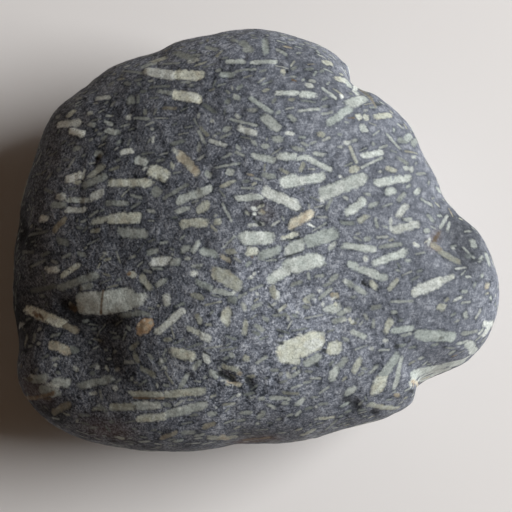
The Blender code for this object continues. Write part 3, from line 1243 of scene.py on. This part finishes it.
SEEN_LATHS = tuple(Mark(*row) for row in (
    # top left
    (144, 71, 176, 76, 11, W, 1.2), (172, 74, 204, 76, 12, C, 1.55), (140, 67, 158, 62, 6, P, 0.95),
    (150, 63, 167, 57, 7, C, 0.95), (162, 64, 180, 63, 3, P, 0.7), (188, 62, 199, 59, 6, W, 0.95),
    (173, 52, 196, 60, 7, P, 0.7), (180, 57, 200, 55, 4, P, 0.6), (199, 43, 203, 43, 4, G, 0.7),
    (231, 40, 240, 42, 5, P, 0.6), (205, 47, 218, 50, 5, P, 0.65), (240, 40, 252, 52, 8, P, 0.55),
    (243, 50, 253, 50, 7, P, 0.7), (225, 62, 245, 61, 6, P), (220, 74, 234, 75, 6, G),
    (234, 72, 250, 69, 2.5, P, 0.6), (157, 91, 176, 94, 4, P, 0.8), (172, 94, 201, 99, 10, C, 1.6),
    (163, 108, 178, 109, 4, T, 0.5), (150, 87, 170, 86, 3, P, 0.5), (233, 96, 240, 99, 5, P, 0.8),
    (225, 100, 230, 102, 6, G, 0.6), (122, 71, 145, 73, 3, P, 0.6), (131, 96, 131, 104, 9, G),
    (125, 82, 130, 85, 4, P, 0.6), (137, 84, 141, 84, 4, G, 0.7), (95, 99, 110, 97, 5, W, 1.05),
    (67, 117, 75, 110, 6, C, 1.2), (87, 114, 93, 113, 5, W, 0.95), (57, 124, 81, 123, 8, W, 1.4),
    (69, 130, 84, 135, 7, W, 1.7), (88, 124, 95, 125, 4, P), (104, 121, 113, 125, 3.5, P),
    (105, 130, 118, 133, 6, P, 0.95), (112, 131, 120, 133, 4, P, 0.65), (126, 117, 132, 117, 6, W),
    (133, 118, 150, 119, 3, P, 0.7), (73, 148, 80, 149, 6, P, 0.8), (89, 141, 93, 139, 3, P, 0.7),
    (95, 153, 103, 155, 6, P, 0.8), (120, 153, 133, 150, 6, W, 1.2), (135, 160, 147, 163, 8, P, 1.2),
    (149, 169, 169, 177, 12.5, C, 1.15), (223, 129, 230, 129, 6, P, 0.8), (198, 130, 205, 144, 3, P, 0.8),
    (209, 140, 226, 146, 4, W, 0.9), (230, 119, 258, 126, 2.4, P, 0.8), (238, 128, 257, 134, 6, W, 0.95),
    (200, 127, 208, 136, 3, C, 0.5), (236, 146, 241, 149, 3, P, 0.8),
    # left
    (65, 181, 83, 174, 8, W, 1.7), (74, 181, 80, 183, 5, C, 1.2), (82, 179, 85, 169, 3.5, W, 1.05),
    (89, 178, 103, 165, 7, C, 0.8), (82, 187, 107, 175, 7, P, 0.75), (108, 183, 152, 183, 8, C, 1.05),
    (57, 170, 61, 169, 4, P, 0.6), (44, 189, 53, 193, 3, P, 0.5), (56, 197, 66, 197, 7, W, 1.15),
    (66, 200, 90, 200, 5, P, 1.2), (90, 198, 104, 192, 8, W, 1.05), (51, 204, 66, 206, 6, G, 1.15),
    (65, 210, 86, 210, 5.5, W, 1.1), (105, 203, 128, 203, 5, P, 0.6), (40, 218, 48, 219, 7, W, 1.4),
    (53, 231, 66, 218, 6.5, T, 0.85), (28, 236, 48, 231, 2.5, P, 0.45), (57, 240, 68, 243, 6, P, 0.5),
    (91, 222, 108, 219, 6, C, 0.85), (107, 219, 141, 217, 10, C), (118, 232, 148, 234, 9, P, 0.72),
    (130, 195, 142, 198, 2.5, P, 0.6), (62, 258, 71, 254, 3, P, 0.7), (31, 267, 45, 260, 3, P, 0.65),
    (46, 270, 59, 269, 6.5, W, 1.45), (60, 277, 69, 271, 5, C, 1.2), (68, 272, 79, 264, 5.5, C, 1.15),
    (22, 252, 33, 252, 3, P, 0.45), (130, 272, 136, 277, 6, C, 1.1), (140, 275, 151, 290, 6, C, 0.75),
    (177, 153, 199, 174, 8.5, T, 1.1), (170, 165, 175, 167, 6, C, 0.9), (205, 173, 212, 176, 6, P, 0.8),
    (215, 168, 240, 163, 2, P, 0.8), (226, 171, 234, 173, 6, P, 0.9), (220, 187, 236, 180, 3.5, C, 0.8),
    (177, 201, 211, 189, 8, P, 1.05), (163, 199, 188, 184, 3.5, P, 0.5), (152, 188, 160, 195, 8, P, 0.55),
    (175, 212, 190, 208, 4.5, P, 0.9), (196, 210, 210, 204, 9, C, 0.88), (180, 224, 190, 223, 9, C, 0.85),
    (188, 223, 208, 222, 8.5, C, 0.95), (214, 222, 221, 221, 7, C, 0.8), (222, 203, 232, 222, 2.5, P, 0.8),
    (147, 253, 159, 250, 5, P, 0.6), (181, 251, 190, 247, 6, P, 0.75), (192, 252, 200, 241, 5, P, 0.9),
    (200, 251, 217, 254, 7, G, 0.95), (226, 252, 236, 251, 5, C, 0.6), (223, 248, 235, 236, 2, P, 0.8),
    (152, 261, 170, 261, 9, W, 1.1), (170, 262, 180, 262, 7, P, 0.7),
    # centre
    (252, 156, 276, 160, 6, P, 0.9), (277, 156, 297, 157, 7, P), (296, 159, 304, 157, 4, P, 0.9),
    (303, 156, 331, 170, 5, P, 0.9), (292, 148, 305, 150, 4, P, 0.5), (262, 175, 275, 176, 5, P, 0.6),
    (252, 143, 256, 143, 6, P, 0.7), (262, 147, 269, 145, 5, P, 0.85), (272, 139, 283, 139, 6, P, 0.65),
    (280, 183, 300, 180, 12, P, 1.15), (296, 182, 325, 176, 9, P, 1.05), (262, 190, 300, 207, 10, W, 0.95),
    (235, 199, 262, 196, 6, P), (320, 195, 367, 177, 12.5, P, 0.86), (289, 226, 313, 213, 8.5, T, 1.15),
    (240, 238, 274, 238, 13.5, P, 1.12), (259, 257, 281, 249, 8, G, 0.9), (285, 251, 305, 243, 11, P, 0.85),
    (305, 243, 338, 232, 13, G, 0.9), (267, 281, 291, 268, 10, P), (286, 268, 323, 258, 15, P, 1.12),
    (328, 249, 336, 243, 5, P, 0.8), (246, 252, 258, 251, 8, C), (212, 271, 242, 286, 14, C, 0.72),
    (196, 281, 213, 289, 5.5, G, 0.8), (213, 290, 234, 295, 5, P, 0.85), (226, 307, 227, 325, 9, C, 0.95),
    (227, 299, 237, 301, 7, G, 0.45), (186, 327, 200, 334, 5, C, 0.85), (200, 335, 211, 339, 7, W, 0.9),
    (246, 320, 244, 335, 4.5, C, 0.7), (252, 308, 262, 303, 4, P, 0.8), (271, 285, 276, 299, 6, C, 0.6),
    (221, 256, 231, 261, 4, T, 0.8), (255, 325, 264, 331, 4, P, 0.6), (262, 317, 268, 320, 4, P, 0.6),
    (304, 298, 308, 303, 4, C, 0.8), (305, 300, 314, 294, 4, P, 0.7), (319, 299, 332, 288, 3, P, 0.75),
    (325, 311, 341, 306, 8, P, 0.95), (338, 315, 350, 308, 5, P, 0.6), (333, 322, 347, 318, 5, P, 0.6),
    (330, 281, 338, 275, 4, P, 0.65), (323, 286, 331, 283, 3, P, 0.55), (331, 296, 339, 295, 6, T, 0.75),
    (308, 272, 309, 280, 3, P, 0.6), (238, 297, 247, 293, 3, P, 0.6), (196, 314, 201, 323, 5, C, 0.6),
    # top right
    (250, 62, 277, 62, 5, P, 0.85), (248, 70, 256, 69, 3, P, 0.6), (265, 38, 266, 54, 6, G, 0.75),
    (276, 49, 287, 55, 4, P, 0.6), (283, 46, 292, 48, 3, T, 0.7), (324, 63, 332, 63, 7, C, 0.7),
    (337, 79, 348, 81, 7, C, 0.72), (353, 84, 356, 91, 5, W, 0.92), (275, 93, 300, 93, 5, P),
    (298, 94, 316, 95, 7, P), (298, 111, 320, 109, 3, P, 0.8), (322, 88, 337, 99, 3, P, 0.8),
    (249, 97, 272, 113, 4.5, G), (262, 115, 279, 130, 10, P, 0.72), (288, 115, 296, 121, 5, P, 0.6),
    (328, 124, 352, 106, 8, G, 0.9), (346, 106, 366, 98, 10, P, 0.76), (357, 114, 361, 120, 6, C, 0.8),
    (363, 117, 369, 118, 7, C, 0.8), (362, 124, 365, 132, 7, P, 0.9), (374, 117, 392, 115, 6, C, 0.72),
    (361, 156, 384, 152, 6, P), (383, 157, 361, 168, 2.5, P, 0.75), (386, 168, 396, 171, 5, C, 0.65),
    (398, 140, 408, 142, 6, G, 0.5), (405, 140, 412, 135, 7, G, 0.7), (414, 143, 419, 136, 6, G, 0.5),
    (386, 133, 400, 149, 3, P, 0.6), (374, 183, 394, 180, 8, P), (392, 180, 411, 178, 8, P, 0.92),
    (350, 170, 359, 169, 7, C, 0.7), (385, 192, 396, 191, 7, P, 0.9), (415, 194, 420, 189, 5, P, 0.8),
    (405, 193, 398, 201, 4, P, 0.6), (437, 189, 441, 192, 5, P, 0.7), (421, 199, 433, 206, 3, P, 0.65),
    (345, 214, 366, 200, 8, P), (369, 206, 378, 203, 4, P, 0.7), (358, 222, 368, 215, 5, C, 0.6),
    (375, 218, 378, 228, 3, P, 0.6), (398, 217, 406, 204, 7, W, 0.72), (392, 231, 419, 223, 8, W, 0.64),
    (403, 220, 412, 219, 4, P, 0.6), (364, 239, 370, 238, 4, P, 0.7), (343, 245, 376, 250, 6, P, 0.9),
    (379, 247, 402, 244, 4, P, 0.55), (373, 264, 407, 251, 7, P), (347, 263, 359, 268, 7, G, 0.95),
    (359, 268, 387, 279, 7, P, 0.85), (355, 287, 367, 294, 5, P, 0.8), (370, 282, 377, 288, 5, C, 0.85),
    (343, 280, 353, 285, 5, P, 0.65), (388, 290, 398, 279, 4, C, 0.6),
    # lobe; the lens's narrow right end, at (434, 284), is darker as painted shade
    (413, 292, 443, 281, 10.5, W, 0.84), (434, 284, 454, 276, 5, W, 0.6), (390, 302, 413, 301, 2.5, P, 0.6),
    (430, 244, 437, 249, 5, T, 0.5), (438, 251, 461, 263, 6, C, 0.36), (448, 215, 440, 228, 3, P, 0.55),
    (450, 222, 447, 231, 3, P, 0.65), (471, 239, 475, 248, 6, P, 0.6), (463, 247, 476, 260, 2, P, 0.6),
    (486, 253, 489, 265, 6, P, 0.6), (478, 262, 483, 256, 4, P, 0.6), (485, 286, 490, 286, 6, T, 0.65),
    (437, 306, 446, 308, 6, C, 0.7), (465, 312, 467, 318, 6, P, 0.65), (385, 333, 391, 319, 6, C, 0.75),
    (390, 331, 413, 328, 6, G), (415, 335, 456, 337, 11, G, 0.95), (457, 344, 468, 341, 3.5, P, 0.8),
    (469, 344, 475, 353, 9, P, 0.85), (449, 354, 455, 351, 4, P, 0.6), (409, 377, 447, 365.5, 14, P, 0.94),
    (440, 367, 470, 357, 11, P, 0.95), (419, 381.5, 436, 374.2, 20, P, 1.05),
    (432, 375.8, 452, 367.2, 20, P, 1.05), (450, 368, 466, 359.5, 20, P),
    (417, 380, 428, 373.6, 12, P, 0.95), (426, 374.3, 442, 369.8, 12, P, 0.95),
    (462, 334, 478, 331, 4, P, 0.5), (424, 231, 430, 230, 4, P, 0.55), (398, 354, 379, 382, 9, G, 0.78),
    (383, 374, 376, 394, 13, C, 0.88), (394, 390, 402, 357, 4.5, P, 0.75), (369, 374, 378, 365, 4, P, 0.7),
    (351, 331, 366, 338, 5, P, 0.9), (327, 348, 341, 347, 12, C), (353, 373, 361, 358, 6, C, 0.7),
    (330, 380, 338, 367, 8, P, 0.9), (338, 368, 347, 358, 6, P, 0.6),
    # front left
    (76, 303, 112, 303, 22, P, 1.3), (98, 303, 135, 299, 22, P, 1.2), (118, 301, 146, 300, 13, P, 1.15),
    (80, 288, 93, 286, 6, P, 0.6), (57, 289, 98, 274, 7, P, 0.72), (30, 291, 56, 286, 5, P, 0.4),
    (25, 308, 66, 325, 10, C, 1.7), (60, 322, 78, 332, 7, T, 0.75), (49, 345, 70, 351, 9, T, 1.1),
    (67, 347, 78, 352, 6, G, 0.6), (31, 379, 47, 379, 9, P, 0.95), (51, 383, 71, 383, 9, P),
    (39, 390, 60, 392, 10, P, 0.85), (78, 387, 113, 378, 7, P, 0.75), (52, 414, 70, 403, 6, T, 0.6),
    (51, 336, 60, 334, 3, P, 0.6), (137, 327, 152, 326, 15, B, 2.35), (156, 334, 184, 309, 6.5, W, 1.1),
    (166, 295, 167, 305, 7, W, 0.95), (170, 351, 195, 357, 9, C, 0.95), (119, 316, 141, 313, 5, P, 0.55),
    (134, 311, 150, 315, 4, P, 0.55), (130, 350, 138, 342, 4, C, 0.5), (133, 353, 139, 362, 5, C, 0.6),
    (190, 295, 204, 298, 5, C, 0.5), (203, 357, 210, 359, 10, W, 0.95), (193, 370, 201, 360, 5, P, 0.85),
    (188, 373, 180, 388, 4, P, 0.6), (140, 368, 156, 376, 5, C, 0.45), (130, 394, 165, 395, 6.5, C, 0.85),
    (162, 395, 205, 391, 7.5, C, 0.8), (110, 407, 135, 407, 7, C, 0.7), (134, 406, 161, 405, 8, P, 0.9),
    (163, 404, 171, 405, 5, P, 0.65), (137, 419, 168, 416, 8, C, 0.95), (164, 415, 207, 405, 9, P, 0.88),
    (160, 439, 177, 432, 5, T, 0.6), (181, 433, 195, 432, 6, P, 0.55), (207, 438, 238, 437, 9, C, 0.48),
    (203, 427, 215, 424, 6, T, 0.5),
    # front
    (277, 356, 323, 338, 20.5, C, 1.06), (289, 360, 300, 362, 7, C, 0.95), (304, 365, 321, 355, 7, P, 0.8),
    (345, 393, 356, 388, 7, P, 0.8), (270, 398, 290, 399, 4, P, 0.8), (268, 404, 275, 408, 4, P, 0.85),
    (281, 403, 289, 403, 4, P, 0.65), (296, 406, 305, 397, 5, P, 0.75), (295, 416, 301, 411, 3, P, 0.65),
    (257, 418, 265, 412, 6, P, 0.7), (240, 412, 252, 413, 4, P, 0.6), (258, 399, 265, 398, 4, P, 0.6),
    (369, 405, 399, 408, 6, C, 0.6), (318, 419, 335, 417, 4, C, 0.85), (315, 419, 323, 419, 3, P, 0.5),
    (300, 436, 316, 429, 6, C, 0.6), (270, 441, 280, 441, 4, G, 0.6), (243, 440, 270, 437, 5, B, 0.8),
    (394, 395, 400, 395, 5, T, 0.65), (325, 430, 337, 420, 3, P, 0.5), (207, 414, 217, 414, 5, P, 0.7),
    (236, 383, 241, 386, 4, T, 0.9), (222, 366, 240, 371, 5, C, 0.55), (210, 371, 218, 377, 6, P, 0.65),
    (243, 358, 250, 359, 6, C, 0.6), (231, 352, 233, 358, 4, P, 0.6),
))

SEEN_FLECKS = tuple(Mark(*row) for row in (
    # bright grains
    (153, 137, 153, 143, 2.5, W), (213, 136, 216, 136, 3, W, 0.9), (181, 82, 190, 82, 2.5, P, 0.8),
    (143, 170, 147, 167, 3, W, 0.9), (210, 121, 214, 121, 3, W, 0.8), (235, 115, 239, 117, 3.5, W, 0.85),
    (173, 149, 178, 154, 4, W, 0.9), (113, 386, 118, 390, 4, W, 0.85), (286, 133, 294, 134, 3, W, 0.9),
    (321, 199, 324, 202, 3, W), (338, 176, 341, 176, 3, W), (308, 224, 315, 227, 2.5, W),
    (282, 239, 297, 233, 4, C, 0.95), (251, 208, 257, 209, 4, W, 0.9), (253, 214, 256, 214, 3, W, 0.95),
    (340, 96, 343, 96, 4, W), (344, 142, 350, 143, 4, W, 0.9), (404, 169, 409, 168, 4, P, 0.75),
    (421, 147, 424, 158, 3.5, W, 0.8), (412, 157, 416, 157, 3, P, 0.7), (391, 219, 391, 230, 2.5, W, 0.8),
    (413, 243, 419, 246, 3, W, 0.9), (364, 257, 367, 261, 3, W, 0.9), (428, 246, 430, 238, 2.5, W, 0.75),
    (452, 247, 454, 249, 2.5, W, 0.6), (451, 277, 454, 277, 2.5, W, 0.8), (345, 279, 346, 284, 3, W, 0.75),
    (351, 320, 354, 322, 2.5, W, 0.9), (322, 332, 324, 335, 2.5, W, 0.8), (383, 340, 387, 342, 4, W, 0.7),
    (370, 348, 374, 349, 3, W, 0.7), (278, 292, 278, 300, 3, W, 0.9), (250, 278, 252, 276, 2.5, W, 1.1),
    (253, 274, 256, 273, 2.5, W, 1.1), (256, 292, 258, 295, 2, W, 0.9), (288, 316, 289, 320, 3, W, 0.7),
    (296, 312, 299, 312, 2, W, 0.9), (299, 334, 303, 337, 3, W, 0.95), (191, 274, 198, 273, 4, W, 1.15),
    (192, 266, 202, 265, 2.5, P, 0.8), (103, 254, 107, 253, 3, W), (143, 321, 145, 321, 2.5, W, 1.1),
    (149, 322, 152, 323, 3, C, 0.8), (47, 384, 60, 387, 2.5, W, 1.1), (30, 375, 33, 376, 2.5, W),
    (54, 364, 57, 366, 3, W, 0.8), (52, 360, 60, 358, 3, W, 0.6), (73, 366, 78, 370, 4, W, 0.65),
    (96, 367, 99, 367, 3, W, 0.8), (90, 394, 97, 393, 2.5, W, 0.8), (98, 405, 106, 410, 4, P, 0.7),
    (144, 402, 152, 404, 3, W, 1.1), (151, 404, 160, 407, 2.5, W), (156, 384, 158, 388, 3, W, 1.1),
    (179, 409, 182, 409, 3, W, 1.1), (152, 418, 154, 418, 2.5, W), (114, 370, 120, 369, 3, W, 0.7),
    (163, 368, 167, 368, 4, W, 0.7), (215, 408, 217, 408, 2.5, W, 0.8), (232, 386, 234, 385, 2.5, W),
    (236, 368, 238, 368, 3, W), (237, 395, 240, 395, 3, W, 1.15), (231, 404, 235, 404, 3, W, 0.75),
    (315, 407, 318, 406, 3, W, 0.9), (287, 372, 289, 378, 3, W, 0.7), (233, 291, 235, 293, 3, W, 0.95),
    (202, 338, 204, 340, 3, W, 1.05), (309, 305, 311, 305, 3, W, 0.8), (20, 324, 26, 326, 4, W, 0.6),
    (104, 350, 108, 350, 2.5, P, 0.6), (484, 324, 493, 324, 7, W, 0.78),
    (488.5, 325, 486, 335, 13, W, 0.76), (487, 331, 491, 326, 2.5, T), (410, 382, 412, 387, 3.5, W, 0.75),
    (416, 382, 418, 387, 3.5, T, 1.05), (413, 382, 414, 387, 3, T, 0.8), (307, 348, 321, 341, 11, W, 1.1),
    (313, 298, 315, 300, 3, W), (322, 305, 324, 303, 3, W), (331, 300, 336, 297, 2.5, W, 0.95),
    (334, 303, 337, 306, 3, C, 1.1), (318, 291, 321, 290, 2.5, W, 0.9), (344, 309, 349, 312, 3, W, 0.9),
    (341, 322, 346, 319, 2.5, W, 0.85), (349, 318, 352, 323, 2.5, C), (160, 360, 163, 361, 2.5, W),
    # stains and brown grains
    (251, 256, 253, 258, 2.5, B, 0.6), (103, 290, 101, 314, 2.2, B, 0.75), (33, 311, 38, 317, 4, B, 1.3),
    (39, 314, 44, 320, 3, B), (140, 329, 143, 322, 5, B, 1.7), (146, 331, 149, 329, 3, B, 1.5),
    (69, 306, 77, 310, 6, B, 0.45), (128, 272, 130, 275, 4, B, 0.8), (62, 384, 64, 385, 2.5, T),
    (421, 379.5, 429, 376.5, 3, T), (22, 392, 47, 398, 4, B, 0.9), (34, 396, 50, 399, 3, B, 0.6),
    (28, 380, 32, 378, 5, T, 0.4), (133, 398, 168, 398, 2, B, 0.75), (221, 436, 229, 440, 5, T, 0.75),
    (252, 442, 266, 441, 4, B, 0.45), (260, 211, 266, 213, 4, T, 0.5), (438, 232, 434, 243, 4.5, B, 0.36),
    (433, 243, 441, 250, 5, T, 0.44),
    # painted shade in holes and cracks, between laths, under a chip and below a step, and dark augite
    (96, 157, 98, 159, 3, D, 1.2), (287, 70, 288, 74, 2.5, D, 0.6), (281, 69, 285, 74, 4, C, 0.9),
    (253, 218, 261, 226, 3, D, 1.3), (261, 202, 263, 204, 4, D), (281, 241, 300, 238, 1.8, D, 1.2),
    (278, 259, 303, 252, 1.5, D, 1.6), (361, 282, 367, 286, 5, D, 0.8), (375, 104, 381, 104, 5, D, 1.6),
    (359, 89, 372, 98.5, 3.5, T, 0.4), (370, 97, 376, 107, 3.5, T, 0.4), (439, 338, 445, 338, 4, G, 0.45),
    (409, 391, 414, 391, 5, D, 1.6), (218, 372, 233, 381, 4.8, D, 0.6), (226, 381, 236, 384, 3, T, 0.9),
    (219, 360, 233, 365, 2, D, 1.5), (246, 378, 252, 387, 3.8, D, 1.8), (238, 372, 241, 374, 4, T, 0.7),
    (268, 304, 278, 312, 1.8, D, 1.8), (274, 341, 283, 344, 3, D, 1.8), (322, 350, 326, 350, 3.5, D, 1.6),
    (315, 364, 319, 366, 3, D, 1.8), (142, 285, 148, 292, 2.5, D), (150, 399, 176, 399, 2, D, 1.4),
    (409, 339, 410, 342, 3, D, 1.6), (395, 345, 399, 347, 4, D, 1.8), (484, 259, 470, 262, 3, D, 2.2),
    (465, 258, 474, 252, 4, D, 2.2), (22, 330, 33, 318, 4, D, 0.7), (203, 351, 211, 356, 1.8, D, 1.2),
    (346, 82, 352, 87, 7, P, 0.8), (355, 101, 364, 97, 7, P, 0.95), (356, 91, 357, 96, 5, P, 0.95),
))

PATCHES = (
    # rust
    Patch(30, 390, 45, 396, 3.0, stain=0.4), Patch(98, 430, 118, 432, 3.5, stain=0.4),
    Patch(243, 442, 270, 438, 2.0, stain=0.5), Patch(437, 234, 431, 245, 1.2, stain=0.25),
    Patch(425, 379, 432, 377, 1.5, stain=0.4), Patch(258, 208, 266, 214, 2.0, stain=0.15),
    # painted shade in hollows, under crystals and along the rims, painted light in a few places, partly the
    # groundmass's own tone
    Patch(118, 125, 145, 160, 7.0, shade=-0.38), Patch(112, 230, 145, 262, 7.5, shade=-0.36),
    Patch(80, 325, 100, 370, 6.5, shade=-0.3), Patch(118, 345, 138, 385, 6.0, shade=-0.35),
    Patch(16, 228, 30, 240, 3.0, shade=-0.75), Patch(14, 305, 26, 335, 3.0, shade=-0.6),
    Patch(66, 306, 82, 318, 2.2, shade=-0.7), Patch(82, 322, 118, 321, 2.8, shade=-0.35),
    Patch(35, 408, 60, 415, 3.0, shade=-0.6), Patch(70, 432, 150, 448, 4.0, shade=-0.3),
    Patch(190, 440, 300, 432, 4.0, shade=-0.22), Patch(455, 228, 466, 254, 4.8, shade=-0.5),
    Patch(467, 225, 479, 238, 2.0, shade=-0.3), Patch(304, 55, 325, 85, 5.5, shade=-0.27),
    Patch(62, 130, 62, 212, 4.0, shade=0.25), Patch(212, 366, 240, 384, 3.0, shade=-0.3),
    Patch(255, 305, 305, 345, 9.0, shade=0.26), Patch(140, 185, 190, 220, 8.0, shade=-0.17),
    Patch(45, 160, 50, 380, 14.0, shade=-0.16), Patch(230, 175, 300, 110, 9.0, shade=-0.05),
    Patch(258, 205, 262, 222, 1.8, shade=-0.4), Patch(346, 400, 358, 408, 1.2, shade=-0.75),
    Patch(371, 411, 377, 413, 0.9, shade=-0.75), Patch(48, 125, 22, 200, 6.0, shade=-0.42),
    Patch(17, 210, 14, 300, 6.0, shade=-0.6), Patch(17, 325, 18, 385, 5.0, shade=-0.65),
    Patch(26, 405, 90, 442, 5.5, shade=-0.7), Patch(90, 446, 200, 448, 7.5, shade=-0.4),
    Patch(180, 50, 225, 44, 4.0, shade=0.35), Patch(330, 70, 390, 150, 16.0, shade=-0.07),
    Patch(395, 190, 440, 225, 8.0, shade=0.06), Patch(440, 200, 475, 310, 16.0, shade=-0.14),
    Patch(330, 400, 400, 400, 9.0, shade=-0.12),
    # grain: rougher and more contrasted on the left, where the lamp grazes, partly as painted relief shade;
    # smoother on the right
    Patch(440, 220, 450, 320, 18.0, grain=-0.45), Patch(315, 80, 400, 160, 16.0, grain=-0.5),
    Patch(60, 120, 120, 390, 16.0, grain=0.35), Patch(18, 240, 90, 440, 7.0, grain=0.45),
    Patch(215, 372, 240, 390, 8.0, grain=0.3),
)


def main() -> None:
    """Builds the camera, the stone and the studio in order, and reports each."""
    view = View()
    view.build()
    log.info("camera at %s mm", np.round(view.eye, 1))
    pebble = Pebble(crystals=CrystalField(SEEN_LATHS, SEEN_FLECKS), weathering_and_painted_shade=WeatheringAndPaintedShade(PATCHES))
    stone = pebble.build(view)
    log.info("%s: %d points, %d faces", stone.name, len(stone.data.vertices), len(stone.data.polygons))
    Studio().build()
    log.info("floor, lamp and room")


if __name__ == "__main__":
    logging.basicConfig(level=logging.INFO, format="%(name)s: %(message)s")
    main()
